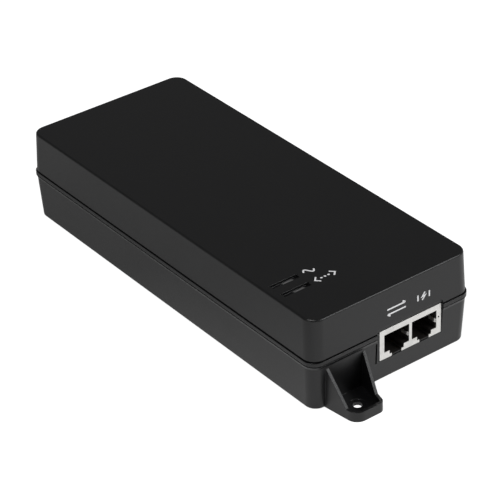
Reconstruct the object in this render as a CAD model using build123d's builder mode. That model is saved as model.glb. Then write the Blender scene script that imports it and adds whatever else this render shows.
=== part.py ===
from build123d import *
import os
from math import cos, radians, sin, tan

# A mains-fed Power over Ethernet injector: a two-part moulded case with two
# screw lugs, a mains inlet at the rear and a twin network jack at the front.
# Millimetres. +Y runs from the jack end to the inlet end, +Z is up, and the
# origin is the centre of the underside.

# ---------------------------------------------------------------- case sizes
CASE_LENGTH = 193.0          # at the parting line, without the band
CASE_WIDTH = 79.7
CASE_HEIGHT = 41.0
PARTING_Z = 22.6             # middle of the groove between base and cover
GROOVE = 0.5                 # height of that groove
COVER_DRAFT = 2.3            # degrees
BASE_DRAFT = 2.55
CORNER_R = 5.0               # vertical corners of the base
COVER_CORNER_R = 5.6         # and of the cover
TOP_EDGE_R = 0.9
BOTTOM_EDGE_R = 0.8
WALL = 2.3
TOP_THICKNESS = 2.2
FLOOR = 2.3
FIT = 0.05                   # clearance of a close fit
BAND = 0.35                  # how far the band round the base stands proud
BAND_HEIGHT = 1.55
BAND_EDGE_R = 0.15
TRIM_GROOVE = 0.4            # fine groove under the band
FLARE_HEIGHT = 1.3           # flare from the wall out to that groove
TONGUE_HEIGHT = 1.9          # tongue on the base that enters the cover
TONGUE_INSET = 1.2

COVER_BOTTOM = PARTING_Z + GROOVE / 2
BASE_TOP = PARTING_Z - GROOVE / 2
CEILING = CASE_HEIGHT - TOP_THICKNESS
TONGUE_TOP = BASE_TOP + TONGUE_HEIGHT
COVER_SLOPE = tan(radians(COVER_DRAFT))
BASE_SLOPE = tan(radians(BASE_DRAFT))
FOOT_INSET = BASE_SLOPE * PARTING_Z
BAND_BOTTOM = BASE_TOP - BAND_HEIGHT
FLARE_TOP = BAND_BOTTOM - TRIM_GROOVE
HOLLOW_R = CORNER_R - WALL

# ------------------------------------------------------------- mounting lugs
LUG_TIP_Y = -111.75
LUG_ROOT_Y = -94.0
LUG_TIP_X = (-31.25, -17.4)
LUG_ROOT_X = (-33.5, -13.3)
LUG_TIP_R = (4.8, 2.8)
LUG_WALL = 1.35
LUG_FLOOR = 1.8
LUG_RIM_Z = 4.3
RIB_TOP_Z = 19.3
RIB_TOP_Y = -95.4
RIB_FOOT_Y = -106.25
RIB_BLEND_R = 2.5
LUG_HOLE = (-24.2, -103.8)
LUG_HOLE_R = 1.85
LUG_SPOTFACE_R = 3.4
LUG_SPOTFACE_DEPTH = 0.3

# ------------------------------------------------------ board and its fixings
BOARD_THICKNESS = 1.6
BOARD_TOP = 9.35
BOARD_BOTTOM = BOARD_TOP - BOARD_THICKNESS
BOARD_WIDTH = 70.4
BOARD_LENGTH = 183.0
BOARD_NOTCH = (7.6, 8.0)
BOARD_SCREWS = [(x, y) for x in (-31, 31) for y in (-55, 60)]
BOARD_SCREW_R = 1.0
BOARD_SCREW_HEAD = (2.5, 1.8)
POST_R = 3.0
CASE_SCREWS = [(x, y) for x in (-32.6, 32.6) for y in (-88.8, 88.8)]
CASE_SCREW_R = 1.4
CASE_SCREW_HEAD = (2.7, 2.0)
CASE_SCREW_LENGTH = 14.0
TUBE_R = 3.5                 # screw tubes in the base
TUBE_TOP = 12.0
TUBE_BORE_R = 2.95
TUBE_BORE_DEPTH = 8.0
BOSS_R = 3.2                 # screw bosses in the cover

# ------------------------------------------------------------- network jack
PORT_PITCH = 13.97
JACK_X = 9.05
PORT_XS = (JACK_X - PORT_PITCH / 2, JACK_X + PORT_PITCH / 2)
JACK_WIDTH = 31.2
JACK_HEIGHT = 13.45
JACK_DEPTH = 16.0
JACK_FACE_Y = -96.0
JACK_TOP = BOARD_TOP + JACK_HEIGHT
JACK_REAR_Y = JACK_FACE_Y + JACK_DEPTH
JACK_GAP = 0.35
PORT_WIDTH = 12.3            # in the insulator
PORT_TOP = 20.3
PORT_BOTTOM = 12.25
PORT_DEPTH = 13.6
LATCH_WIDTHS = (7.2, 4.9)    # the two steps of the latch slot, going down
LATCH_FLOORS = (10.6, 9.8)
SHIELD = 0.3                 # thickness of the sheet metal shield
SHIELD_PORT_WIDTH = 12.6
SHIELD_HOLE_R = 0.4
SHIELD_HOLE_Z = 16.9
TAB_PATH = [(6.45, 0.15), (6.0, 1.0), (6.0, 4.2), (6.3, 4.8)]  # from port middle, from face
TAB_HEIGHT = 1.7
TAB_Z = 15.5
TAB_POCKET = (0.45, 5.3, 2.1)
BEZEL_X = (-7.9, 25.3)       # flat surround let into the case wall
BEZEL_TOP = 24.6
BEZEL_R = 1.2
SLIT_X = (-8.7, -7.95)       # narrow slit beside the jack
SLIT_Z = (8.7, 18.4)
SLIT_DEPTH = 1.6

CONTACT_COUNT = 8
CONTACT_PITCH = 1.02
WIRE = 0.4
CONTACT_PIVOT = (JACK_FACE_Y + 1.25, 19.75)
CONTACT_LENGTH = 8.6
CONTACT_SLOPE = 16.0
CONTACT_HOOK = 1.2
LEAD_TOP = 21.35
LEAD_DROP_Y = JACK_REAR_Y + 0.5
LEAD_END_Z = BOARD_BOTTOM - 0.8
LEAD_ROW = CONTACT_COUNT * CONTACT_PITCH

# ------------------------------------------------------------- mains inlet
INLET_X = -12.0
INLET_Z = 20.8
INLET_WIDTH = 27.6
INLET_HEIGHT = 20.4
INLET_FACE_Y = 96.6
INLET_DEPTH = 22.0
INLET_R = 1.5
INLET_GAP = 0.2
SOCKET_WIDTH = 24.6
SOCKET_HEIGHT = 16.4
SOCKET_CHAMFER = 4.5
SOCKET_DEPTH = 16.5
PIN_THICKNESS = 2.0
PIN_HEIGHT = 4.0
PIN_SPACING = 7.0            # live and neutral each side of the middle
PIN_OFFSET = 2.0             # earth above the middle, the others below
PIN_RECESS = 1.5
TAG_THICKNESS = 0.8

# --------------------------------------------------------------- indicators
LED_X = -27.85
LED_YS = (-66.95, -74.1)
SLOT_LENGTH = 12.9
SLOT_WIDTH = 2.6
SLOT_X = -29.2
SLOT_DEEP = 1.1              # depth along the rear edge
SLOT_SHALLOW = 0.15          # depth along the front edge
PIPE_WIDTH = 4.9
PIPE_DEPTH = 1.5
PIPE_GAP = 0.1
PIPE_BOTTOM = 11.0
COLLAR_WALL = 1.0
COLLAR_DROP = 4.0
DIMPLE_R = 0.3
DIMPLE_DEPTH = 1.2
DIMPLE_INSET = 0.4

# -------------------------------------------------- label and insulation
LABEL = (60.0, 36.0)
LABEL_R = 2.0
LABEL_RECESS = 0.35
LABEL_THICKNESS = 0.2
SHEET_THICKNESS = 0.5
SHEET_SIZE = (64.0, 150.0)

# ------------------------------------------------ components on the board
LEAD_R = 0.4
LEAD_LENGTH = BOARD_THICKNESS + 0.8
FUSE_AT = (8.0, 79.0)
FUSE_R = 3.0
FUSE_LENGTH = 20.0
FUSE_CAP = 5.0
DISCS = {"varistor": (18.0, 85.5, 6.0, 4.5), "thermistor": (18.0, 73.5, 5.5, 5.0)}
X_CAPACITORS = [((-17.0, 65.0), (18.0, 8.5)), ((29.3, 74.0), (8.5, 17.0))]
X_CAPACITOR_HEIGHT = 15.0
CHOKE_AT = (11.0, 56.0)
CHOKE_FRAME = (26.0, 20.0)
CHOKE_LIMB = 5.0
CHOKE_DEPTH = 6.0
BRIDGE_AT = (26.0, 38.0)
BRIDGE = (3.6, 15.0, 12.0)
BULK_AT = (-18.0, 44.0)
BULK_R = 12.5
BULK_HEIGHT = 27.0
TRANSFORMER_AT = (2.0, 9.0)
TRANSFORMER = (32.0, 20.0, 26.0)
CORE_LEG = 6.0
CENTRE_LEG_R = 6.5
HEATSINK = (2.5, 40.0, 24.0)
HEATSINKS = {"primary": (-32.3, 10.0, 1, 18.0), "secondary": (32.3, -21.0, -1, -20.0)}
DEVICE = (10.0, 15.0, 4.5)
DEVICE_BASE = 4.0
PAD_THICKNESS = 0.3
DEVICE_SCREW_R = 1.5
Y_CAPACITORS = [(24.5, 22.0), (24.5, 11.0)]
OPTOCOUPLERS = [(20.5, -5.0), (27.0, -5.0)]
CONTROLLER_AT = (-22.0, 4.0)
BARRIER = (62.0, 0.5, 25.0)
BARRIER_AT = (-3.0, -12.0)
OUTPUT_CAPACITORS = [(-22.0, -26.0), (-8.0, -26.0), (6.0, -26.0)]
OUTPUT_CAPACITOR_R = 6.25
OUTPUT_CAPACITOR_HEIGHT = 22.0
INDUCTOR_AT = (17.0, -44.0)
INDUCTOR_R = (5.5, 9.0)
INDUCTOR_HEIGHT = 7.0
POWER_CONTROLLER_AT = (-12.0, -45.0)
LAN_TRANSFORMERS = [(-1.0, -66.0), (19.0, -66.0)]
LAN_TRANSFORMER = (16.5, 12.7, 6.0)
PASSIVES_AT = (-25.0, -47.0)

BOTTOM_ALIGN = (Align.CENTER, Align.CENTER, Align.MIN)
TOP_ALIGN = (Align.CENTER, Align.CENTER, Align.MAX)


def slot_rear_y(y):
    """Rear edge of the indicator slot whose middle is at y."""
    return y + SLOT_WIDTH / 2


def slot_wedge(y):
    """Cutter for an indicator slot, deep at its rear edge and shallow in front."""
    with BuildPart() as wedge:
        with BuildSketch(Plane.YZ.offset(SLOT_X - SLOT_LENGTH / 2)):
            rear = slot_rear_y(y)
            front = rear - SLOT_WIDTH
            with BuildLine():
                Polyline(
                    (rear, CASE_HEIGHT + 1),
                    (rear, CASE_HEIGHT - SLOT_DEEP),
                    (front, CASE_HEIGHT - SLOT_SHALLOW),
                    (front, CASE_HEIGHT + 1),
                    close=True,
                )
            make_face()
        extrude(amount=SLOT_LENGTH)
    return wedge.part


# ================================================================ top cover
def rounded_case(inset, radius):
    """Outline of the case at the parting line, drawn in by inset."""
    RectangleRounded(CASE_WIDTH - 2 * inset, CASE_LENGTH - 2 * inset, radius)


def drafted_block(bottom, height, inset, draft, radius):
    """Outer block of half the case: drafted flat walls, one radius all the way up the corners."""
    with BuildPart() as block:
        with BuildSketch(Plane.XY.offset(bottom)):
            Rectangle(CASE_WIDTH - 2 * inset, CASE_LENGTH - 2 * inset)
        extrude(amount=height, taper=draft)
        corners = [edge for edge in block.edges() if abs(edge.tangent_at(0.5).Z) > 0.9]
        fillet(corners, radius)
    return block.part


with BuildPart() as top_cover:
    add(drafted_block(COVER_BOTTOM, CASE_HEIGHT - COVER_BOTTOM, COVER_SLOPE * GROOVE / 2, COVER_DRAFT,
                      COVER_CORNER_R))
    fillet(top_cover.faces().sort_by(Axis.Z)[-1].edges(), TOP_EDGE_R)
    # hollow inside, and the rabbet for the base's tongue
    with BuildSketch(Plane.XY.offset(COVER_BOTTOM)):
        rounded_case(WALL, HOLLOW_R)
    extrude(amount=CEILING - COVER_BOTTOM, taper=COVER_DRAFT, mode=Mode.SUBTRACT)
    with BuildSketch(Plane.XY.offset(COVER_BOTTOM)):
        rounded_case(TONGUE_INSET - FIT, CORNER_R - TONGUE_INSET + FIT)
    extrude(amount=TONGUE_TOP + FIT - COVER_BOTTOM, mode=Mode.SUBTRACT)
    # screw bosses
    with BuildSketch(Plane.XY.offset(TUBE_TOP)):
        with Locations(*CASE_SCREWS):
            Circle(BOSS_R)
    extrude(amount=CEILING + 0.5 - TUBE_TOP)
    with BuildSketch(Plane.XY.offset(TUBE_TOP)):
        with Locations(*CASE_SCREWS):
            Circle(CASE_SCREW_R + FIT)
    extrude(amount=CASE_SCREW_LENGTH, mode=Mode.SUBTRACT)
    # collars that guide the light pipes
    with BuildSketch(Plane.XY.offset(CEILING - COLLAR_DROP)):
        with Locations(*[(LED_X, y) for y in LED_YS]):
            Rectangle(PIPE_WIDTH + 2 * COLLAR_WALL, PIPE_DEPTH + 2 * COLLAR_WALL)
    extrude(amount=COLLAR_DROP + 0.5)
    with BuildSketch(Plane.XY.offset(CEILING - COLLAR_DROP)):
        with Locations(*[(LED_X, y) for y in LED_YS]):
            Rectangle(PIPE_WIDTH + 2 * PIPE_GAP, PIPE_DEPTH + 2 * PIPE_GAP)
    extrude(amount=COLLAR_DROP + 2 * TOP_THICKNESS, mode=Mode.SUBTRACT)
    for led_y in LED_YS:
        add(slot_wedge(led_y), mode=Mode.SUBTRACT)
    dimple_x = SLOT_X + SLOT_LENGTH / 2 + DIMPLE_R
    with Locations(*[(dimple_x, slot_rear_y(y) - DIMPLE_INSET, CASE_HEIGHT) for y in LED_YS]):
        Cylinder(DIMPLE_R, DIMPLE_DEPTH, mode=Mode.SUBTRACT)
    # flat surround above the jack
    with BuildSketch(Plane.XZ.offset(-JACK_FACE_Y)):
        with Locations(((BEZEL_X[0] + BEZEL_X[1]) / 2, BEZEL_TOP)):
            RectangleRounded(BEZEL_X[1] - BEZEL_X[0], 2 * (BEZEL_TOP - BASE_TOP) + 4, BEZEL_R,
                             align=(Align.CENTER, Align.MAX))
    extrude(amount=4, mode=Mode.SUBTRACT)
    with BuildSketch(Plane.XZ.offset(-JACK_REAR_Y)):
        with Locations((JACK_X, JACK_TOP + JACK_GAP)):
            Rectangle(JACK_WIDTH + 2 * JACK_GAP, JACK_HEIGHT, align=(Align.CENTER, Align.MAX))
    extrude(amount=JACK_DEPTH + 3, mode=Mode.SUBTRACT)
    # upper part of the inlet cut-out
    with BuildSketch(Plane.XZ.offset(-INLET_FACE_Y - 2)):
        with Locations((INLET_X, INLET_Z)):
            RectangleRounded(INLET_WIDTH + 2 * INLET_GAP, INLET_HEIGHT + 2 * INLET_GAP, INLET_R)
    extrude(amount=8, mode=Mode.SUBTRACT)

# =============================================================== base shell
with BuildPart() as lug:
    with BuildSketch() as lug_outline:
        with BuildLine():
            Polyline(
                (LUG_ROOT_X[0], LUG_ROOT_Y),
                (LUG_TIP_X[0], LUG_TIP_Y),
                (LUG_TIP_X[1], LUG_TIP_Y),
                (LUG_ROOT_X[1], LUG_ROOT_Y),
                close=True,
            )
        make_face()
        tip_corners = lug_outline.vertices().group_by(Axis.Y)[0].sort_by(Axis.X)
        fillet(tip_corners[0], LUG_TIP_R[0])
        fillet(lug_outline.vertices().sort_by(Axis.X)[-2:].sort_by(Axis.Y)[0], LUG_TIP_R[1])
    extrude(amount=RIB_TOP_Z)
    # side view: ribs that slope down to a low rim round the tip
    with BuildSketch(Plane.YZ.offset(LUG_ROOT_X[0] - 1)) as lug_profile:
        with BuildLine():
            Polyline(
                (LUG_ROOT_Y, 0),
                (LUG_ROOT_Y, RIB_TOP_Z),
                (RIB_TOP_Y, RIB_TOP_Z),
                (RIB_FOOT_Y, LUG_RIM_Z),
                (LUG_TIP_Y - 1, LUG_RIM_Z),
                (LUG_TIP_Y - 1, 0),
                close=True,
            )
        make_face()
        rib_feet = lug_profile.vertices().filter_by_position(Axis.Y, RIB_FOOT_Y - 0.1, RIB_FOOT_Y + 0.1)
        fillet(rib_feet, RIB_BLEND_R)
    extrude(amount=LUG_ROOT_X[1] - LUG_ROOT_X[0] + 2, mode=Mode.INTERSECT)
    # pocket between the ribs
    with BuildSketch(Plane.XY.offset(LUG_FLOOR)):
        add(lug_outline.sketch)
        offset(amount=-LUG_WALL, mode=Mode.REPLACE)
    extrude(amount=RIB_TOP_Z, mode=Mode.SUBTRACT)
    with Locations((*LUG_HOLE, LUG_FLOOR)):
        CounterBoreHole(LUG_HOLE_R, LUG_SPOTFACE_R, LUG_SPOTFACE_DEPTH)

with BuildPart() as base_block:
    add(drafted_block(0, BASE_TOP, FOOT_INSET, -BASE_DRAFT, CORNER_R))
    fillet(base_block.faces().sort_by(Axis.Z)[0].edges(), BOTTOM_EDGE_R)
    # flare below the fine groove, and the band above it
    flare_foot = BASE_SLOPE * (PARTING_Z - FLARE_TOP + FLARE_HEIGHT)
    with BuildSketch(Plane.XY.offset(FLARE_TOP - FLARE_HEIGHT)):
        rounded_case(flare_foot, CORNER_R)
    with BuildSketch(Plane.XY.offset(FLARE_TOP)):
        rounded_case(-BAND, CORNER_R + BAND)
    loft()
    with BuildSketch(Plane.XY.offset(BAND_BOTTOM)):
        rounded_case(-BAND, CORNER_R + BAND)
    extrude(amount=BAND_HEIGHT)
    fillet(base_block.faces().sort_by(Axis.Z)[-1].outer_wire().edges(), BAND_EDGE_R)

with BuildPart() as base_shell:
    add(base_block.part)
    add(lug.part)
    add(lug.part.rotate(Axis.Z, 180))
    # hollow inside
    with BuildSketch(Plane.XY.offset(FLOOR)):
        rounded_case(WALL + FOOT_INSET - BASE_SLOPE * FLOOR, HOLLOW_R - BASE_SLOPE * (BASE_TOP - FLOOR))
    extrude(amount=BASE_TOP - FLOOR, taper=-BASE_DRAFT, mode=Mode.SUBTRACT)
    # tongue that locates the cover
    with BuildSketch(Plane.XY.offset(BASE_TOP - 0.4)):
        rounded_case(TONGUE_INSET, CORNER_R - TONGUE_INSET)
        RectangleRounded(CASE_WIDTH - 2 * WALL, CASE_LENGTH - 2 * WALL, HOLLOW_R, mode=Mode.SUBTRACT)
    extrude(amount=TONGUE_HEIGHT + 0.4)
    # tubes for the case screws and posts for the board
    with BuildSketch():
        with Locations(*CASE_SCREWS):
            Circle(TUBE_R)
    extrude(amount=TUBE_TOP)
    with BuildSketch(Plane.XY.offset(FLOOR)):
        with Locations(*BOARD_SCREWS):
            Circle(POST_R)
    extrude(amount=BOARD_BOTTOM - FLOOR)
    with BuildSketch():
        with Locations(*CASE_SCREWS):
            Circle(CASE_SCREW_R + 0.2)
    extrude(amount=TUBE_TOP, mode=Mode.SUBTRACT)
    with BuildSketch():
        with Locations(*CASE_SCREWS):
            Circle(TUBE_BORE_R)
    extrude(amount=TUBE_BORE_DEPTH, mode=Mode.SUBTRACT)
    with BuildSketch(Plane.XY.offset(FLOOR + 0.7)):
        with Locations(*BOARD_SCREWS):
            Circle(BOARD_SCREW_R + FIT)
    extrude(amount=BOARD_BOTTOM - FLOOR, mode=Mode.SUBTRACT)
    with BuildSketch():
        RectangleRounded(*LABEL, LABEL_R)
    extrude(amount=LABEL_RECESS, mode=Mode.SUBTRACT)
    # notch and flat surround for the jack
    with BuildSketch(Plane.XZ.offset(-JACK_REAR_Y)):
        with Locations((JACK_X, BOARD_TOP - JACK_GAP)):
            Rectangle(JACK_WIDTH + 2 * JACK_GAP, 2 * JACK_HEIGHT, align=(Align.CENTER, Align.MIN))
    extrude(amount=JACK_DEPTH + 3, mode=Mode.SUBTRACT)
    with BuildSketch(Plane.XZ.offset(-JACK_FACE_Y)):
        with Locations(((BEZEL_X[0] + BEZEL_X[1]) / 2, BOARD_TOP - JACK_GAP)):
            Rectangle(BEZEL_X[1] - BEZEL_X[0], 2 * JACK_HEIGHT, align=(Align.CENTER, Align.MIN))
    extrude(amount=4, mode=Mode.SUBTRACT)
    with BuildSketch(Plane.XZ.offset(-JACK_FACE_Y - SLIT_DEPTH)):
        with Locations(((SLIT_X[0] + SLIT_X[1]) / 2, (SLIT_Z[0] + SLIT_Z[1]) / 2)):
            Rectangle(SLIT_X[1] - SLIT_X[0], SLIT_Z[1] - SLIT_Z[0])
    extrude(amount=4, mode=Mode.SUBTRACT)
    # lower part of the inlet cut-out
    with BuildSketch(Plane.XZ.offset(-INLET_FACE_Y - 2)):
        with Locations((INLET_X, INLET_Z)):
            RectangleRounded(INLET_WIDTH + 2 * INLET_GAP, INLET_HEIGHT + 2 * INLET_GAP, INLET_R)
    extrude(amount=8, mode=Mode.SUBTRACT)

# ============================================================= small case parts
with BuildPart() as rating_label:
    with BuildSketch(Plane.XY.offset(LABEL_RECESS - LABEL_THICKNESS)):
        RectangleRounded(LABEL[0] - 0.6, LABEL[1] - 0.6, LABEL_R)
    extrude(amount=LABEL_THICKNESS)

with BuildPart() as insulation_sheet:
    with BuildSketch(Plane.XY.offset(FLOOR)):
        RectangleRounded(*SHEET_SIZE, 2)
        with Locations(*BOARD_SCREWS):
            Circle(POST_R + 0.5, mode=Mode.SUBTRACT)
    extrude(amount=SHEET_THICKNESS)

with BuildPart() as case_screws:
    with Locations(*[(x, y, TUBE_BORE_DEPTH) for x, y in CASE_SCREWS]):
        Cylinder(*CASE_SCREW_HEAD, align=TOP_ALIGN)
        Cylinder(CASE_SCREW_R, CASE_SCREW_LENGTH, align=BOTTOM_ALIGN)
    with Locations(*[(x, y, TUBE_BORE_DEPTH - CASE_SCREW_HEAD[1]) for x, y in CASE_SCREWS]):
        Box(3.2, 0.7, 0.9, align=BOTTOM_ALIGN, mode=Mode.SUBTRACT)
        Box(0.7, 3.2, 0.9, align=BOTTOM_ALIGN, mode=Mode.SUBTRACT)

with BuildPart() as board_screws:
    with Locations(*[(x, y, BOARD_TOP) for x, y in BOARD_SCREWS]):
        Cylinder(*BOARD_SCREW_HEAD, align=BOTTOM_ALIGN)
        Cylinder(BOARD_SCREW_R, 5.5, align=TOP_ALIGN)
    with Locations(*[(x, y, BOARD_TOP + BOARD_SCREW_HEAD[1]) for x, y in BOARD_SCREWS]):
        Box(2.8, 0.6, 0.8, align=TOP_ALIGN, mode=Mode.SUBTRACT)
        Box(0.6, 2.8, 0.8, align=TOP_ALIGN, mode=Mode.SUBTRACT)


def light_pipe(y):
    """Clear bar from above an indicator lamp to the floor of its slot."""
    with BuildPart() as pipe:
        with Locations((LED_X, y, PIPE_BOTTOM)):
            Box(PIPE_WIDTH, PIPE_DEPTH, CASE_HEIGHT - PIPE_BOTTOM, align=BOTTOM_ALIGN)
        add(slot_wedge(y), mode=Mode.SUBTRACT)
        with Locations((LED_X, y, CEILING - COLLAR_DROP - 0.3)):
            Box(PIPE_WIDTH + 1.2, PIPE_DEPTH + 1.2, 0.8, align=TOP_ALIGN)
    return pipe


def indicator_lamp(y):
    """Surface-mounted lamp with a domed lens under its light pipe."""
    with BuildPart() as lamp:
        with Locations((LED_X, y, BOARD_TOP)):
            Box(3.2, 2.8, 0.7, align=BOTTOM_ALIGN)
            Cylinder(1.1, 1.3, align=BOTTOM_ALIGN)
    return lamp


light_pipe_ac, light_pipe_port = [light_pipe(y) for y in LED_YS]
led_ac, led_port = [indicator_lamp(y) for y in LED_YS]

# ============================================================ network jack
def draw_ports(width, latch_floors):
    """Outline of both ports, each with a latch slot that narrows going down."""
    with Locations(*[(x, PORT_TOP) for x in PORT_XS]):
        Rectangle(width, PORT_TOP - PORT_BOTTOM, align=(Align.CENTER, Align.MAX))
        for slot_width, floor in zip(LATCH_WIDTHS, latch_floors):
            Rectangle(slot_width, PORT_TOP - floor, align=(Align.CENTER, Align.MAX))


with BuildPart() as jack_shield:
    with Locations((JACK_X, JACK_REAR_Y, BOARD_TOP)):
        Box(JACK_WIDTH, JACK_DEPTH, JACK_HEIGHT, align=(Align.CENTER, Align.MAX, Align.MIN))
    fillet(jack_shield.edges().filter_by(Axis.Y).group_by(Axis.Z)[-1], SHIELD)
    with Locations((JACK_X, JACK_FACE_Y + SHIELD, BOARD_TOP)):
        Box(JACK_WIDTH - 2 * SHIELD, JACK_DEPTH, JACK_HEIGHT - SHIELD,
            align=(Align.CENTER, Align.MIN, Align.MIN), mode=Mode.SUBTRACT)
    with BuildSketch(Plane.XZ.offset(-JACK_FACE_Y)):
        draw_ports(SHIELD_PORT_WIDTH, (LATCH_FLOORS[0], BOARD_TOP))
        with Locations(((PORT_XS[1] + SHIELD_PORT_WIDTH / 2 + JACK_X + JACK_WIDTH / 2) / 2, SHIELD_HOLE_Z)):
            Circle(SHIELD_HOLE_R)
    extrude(amount=-SHIELD, mode=Mode.SUBTRACT)
    # sprung tabs folded back along both sides of each port
    for x in PORT_XS:
        for side in (-1, 1):
            with BuildSketch(Plane.XY.offset(TAB_Z - TAB_HEIGHT / 2)):
                with BuildLine():
                    Polyline(*[(x + side * out, JACK_FACE_Y + back) for out, back in TAB_PATH])
                trace(line_width=SHIELD)
            extrude(amount=TAB_HEIGHT)

with BuildPart() as rj45_housing:
    inset = SHIELD + FIT
    with Locations((JACK_X, JACK_REAR_Y, BOARD_TOP)):
        Box(JACK_WIDTH - 2 * inset, JACK_DEPTH - inset, JACK_HEIGHT - inset,
            align=(Align.CENTER, Align.MAX, Align.MIN))
    with BuildSketch(Plane.XZ.offset(-JACK_FACE_Y)):
        draw_ports(PORT_WIDTH, LATCH_FLOORS)
    extrude(amount=-PORT_DEPTH, mode=Mode.SUBTRACT)
    # pockets behind the sprung tabs
    for x in PORT_XS:
        with Locations((x, JACK_FACE_Y, TAB_Z)):
            Box(PORT_WIDTH + 2 * TAB_POCKET[0], TAB_POCKET[1], TAB_POCKET[2],
                align=(Align.CENTER, Align.MIN, Align.CENTER), mode=Mode.SUBTRACT)
    # channel for the fixed leads over each port, and its opening at the front
    for x in PORT_XS:
        with Locations((x, CONTACT_PIVOT[0] - WIRE, LEAD_TOP)):
            Box(LEAD_ROW + 0.6, JACK_DEPTH, 2 * WIRE, align=(Align.CENTER, Align.MIN, Align.CENTER),
                mode=Mode.SUBTRACT)
        with Locations((x, CONTACT_PIVOT[0], PORT_TOP - 0.1)):
            Box(LEAD_ROW + 0.6, 2 * WIRE, LEAD_TOP - PORT_TOP, align=BOTTOM_ALIGN, mode=Mode.SUBTRACT)

CONTACT_XS = [(i - (CONTACT_COUNT - 1) / 2) * CONTACT_PITCH for i in range(CONTACT_COUNT)]
CONTACT_TIP = (
    CONTACT_PIVOT[0] + CONTACT_LENGTH * cos(radians(CONTACT_SLOPE)),
    CONTACT_PIVOT[1] - CONTACT_LENGTH * sin(radians(CONTACT_SLOPE)),
)
CONTACT_END = (CONTACT_TIP[0] + CONTACT_HOOK, CONTACT_TIP[1] + WIRE / 2)


def spring_contacts(port_x):
    """Eight sprung fingers that slope down and back into a port."""
    with BuildPart() as fingers:
        for x in CONTACT_XS:
            with BuildSketch(Plane.YZ.offset(port_x + x - WIRE / 2)):
                with BuildLine():
                    Polyline(CONTACT_PIVOT, CONTACT_TIP, CONTACT_END)
                trace(line_width=WIRE)
            extrude(amount=WIRE)
    return fingers


data_contacts, poe_contacts = [spring_contacts(x) for x in PORT_XS]

with BuildPart() as rj45_contact_leads:
    for port_x in PORT_XS:
        for x in CONTACT_XS:
            with BuildSketch(Plane.YZ.offset(port_x + x - WIRE / 2)):
                with BuildLine():
                    Polyline(
                        (CONTACT_PIVOT[0], CONTACT_PIVOT[1] + WIRE),
                        (CONTACT_PIVOT[0], LEAD_TOP),
                        (LEAD_DROP_Y, LEAD_TOP),
                        (LEAD_DROP_Y, LEAD_END_Z),
                    )
                trace(line_width=WIRE)
            extrude(amount=WIRE)

# ============================================================ mains inlet
PIN_FLOOR_Y = INLET_FACE_Y - SOCKET_DEPTH
INLET_REAR_Y = INLET_FACE_Y - INLET_DEPTH
INLET_PINS = {
    "line_pin": (INLET_X + PIN_SPACING, INLET_Z - PIN_OFFSET),
    "neutral_pin": (INLET_X - PIN_SPACING, INLET_Z - PIN_OFFSET),
    "earth_pin": (INLET_X, INLET_Z + PIN_OFFSET),
}

with BuildPart() as c14_inlet_housing:
    with BuildSketch(Plane.XZ.offset(-INLET_REAR_Y)):
        with Locations((INLET_X, INLET_Z)):
            RectangleRounded(INLET_WIDTH, INLET_HEIGHT, INLET_R - INLET_GAP)
    extrude(amount=-INLET_DEPTH)
    chamfer(c14_inlet_housing.faces().sort_by(Axis.Y)[-1].edges(), 0.3)
    with BuildSketch(Plane.XZ.offset(-PIN_FLOOR_Y)) as socket_outline:
        with Locations((INLET_X, INLET_Z)):
            Rectangle(SOCKET_WIDTH, SOCKET_HEIGHT)
        chamfer(socket_outline.vertices().group_by(Axis.Z)[-1], SOCKET_CHAMFER)
        fillet(socket_outline.vertices().group_by(Axis.Z)[0], 1.0)
    extrude(amount=-SOCKET_DEPTH, mode=Mode.SUBTRACT)
    with BuildSketch(Plane.XZ.offset(-INLET_REAR_Y)):
        with Locations(*INLET_PINS.values()):
            Rectangle(PIN_THICKNESS, PIN_HEIGHT)
    extrude(amount=-INLET_DEPTH, mode=Mode.SUBTRACT)
    # feet that stand on the board
    with Locations(*[
        (INLET_X + side * (INLET_WIDTH / 2 - 2), y, BOARD_TOP)
        for side in (-1, 1)
        for y in (INLET_REAR_Y + 3, INLET_REAR_Y + 13)
    ]):
        Cylinder(1.5, INLET_Z - INLET_HEIGHT / 2 - BOARD_TOP + 0.3, align=BOTTOM_ALIGN)


def inlet_pin(x, z):
    """Flat pin in the socket, with a thin tag that drops to the board behind it."""
    with BuildPart() as pin:
        with Locations((x, INLET_REAR_Y, z)):
            Box(PIN_THICKNESS, INLET_DEPTH - PIN_RECESS, PIN_HEIGHT,
                align=(Align.CENTER, Align.MIN, Align.CENTER))
        chamfer(pin.faces().sort_by(Axis.Y)[-1].edges(), 0.5)
        with Locations((x, INLET_REAR_Y, z)):
            Box(TAG_THICKNESS, 2.4, PIN_HEIGHT, align=(Align.CENTER, Align.MAX, Align.CENTER))
        with Locations((x, INLET_REAR_Y - 1.2, z)):
            Box(TAG_THICKNESS, 2.4, z - BOARD_BOTTOM + 0.8, align=TOP_ALIGN)
    return pin


line_pin, neutral_pin, earth_pin = [inlet_pin(*at) for at in INLET_PINS.values()]


# ================================================== components on the board
def leaded_disc(x, y, radius, thickness):
    """Coated disc standing on two wire leads, its flat faces along Y."""
    with BuildPart() as disc:
        centre_z = BOARD_TOP + radius + 1.5
        with Locations(Location((x, y, centre_z), (90, 0, 0))):
            Cylinder(radius, thickness)
        fillet(disc.edges().filter_by(GeomType.CIRCLE), thickness * 0.3)
        with Locations((x - radius / 2, y, centre_z), (x + radius / 2, y, centre_z)):
            Cylinder(LEAD_R, centre_z - BOARD_TOP + LEAD_LENGTH, align=TOP_ALIGN)
    return disc


varistor = leaded_disc(*DISCS["varistor"])
thermistor = leaded_disc(*DISCS["thermistor"])

with BuildPart() as y_capacitors:
    for x, y in Y_CAPACITORS:
        add(leaded_disc(x, y, 4.0, 3.5).part)

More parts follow.
